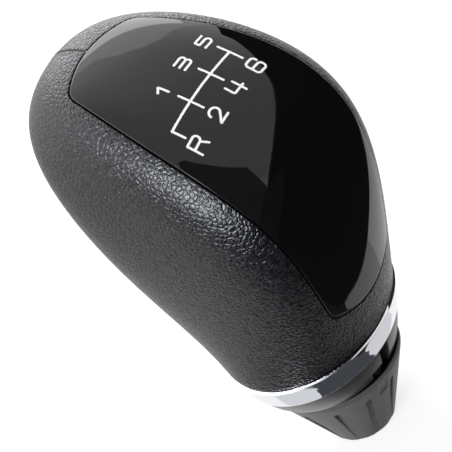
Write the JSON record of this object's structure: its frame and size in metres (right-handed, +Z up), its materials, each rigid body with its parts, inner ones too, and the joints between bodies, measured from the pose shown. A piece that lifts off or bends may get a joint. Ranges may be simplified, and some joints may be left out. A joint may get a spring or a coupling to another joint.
{
  "type": "gear shift knob",
  "caption": "Leather-covered gear shift knob with a gloss gate-pattern panel, chrome and satin rings and a fluted lock collar round a steel lever socket.",
  "frame": {"origin": "on the lever axis, where the bore of the steel lever socket begins", "axes": "+Z up along the lever, +Y to the front of the car, +X to its right"},
  "size_m": [0.0484, 0.06, 0.1061],
  "materials": {
    "grained_leather": "grained, semi-matte",
    "core_plastic": "matte",
    "gloss_black": "piano gloss",
    "bright_chrome": "mirror",
    "satin_metal": "satin",
    "black_plastic": "matte",
    "grey_plastic": "fine spark texture",
    "steel": "zinc plated",
    "rubber": "matte"
  },
  "bodies": {
    "knob": {"grip_cover": "grained_leather", "grip_core": "core_plastic", "gate_panel": "gloss_black", "trim_ring": "bright_chrome", "lower_ring": "satin_metal", "neck_carrier": "black_plastic", "lever_socket": "steel", "damper_sleeve": "rubber", "lever_clip": "steel", "end_stop": "rubber", "carrier_screws": "steel", "disc_spring": "steel", "retaining_ring": "steel"},
    "collar": {"lock_collar": "grey_plastic", "index_pin": "black_plastic"}
  },
  "joints": [
    {"name": "collar_turn", "type": "hinge", "parent": "knob", "child": "collar", "pos_m": [0, 0, 0.008], "axis": [0, 0, 1], "range_deg": [0, 11]}
  ]
}
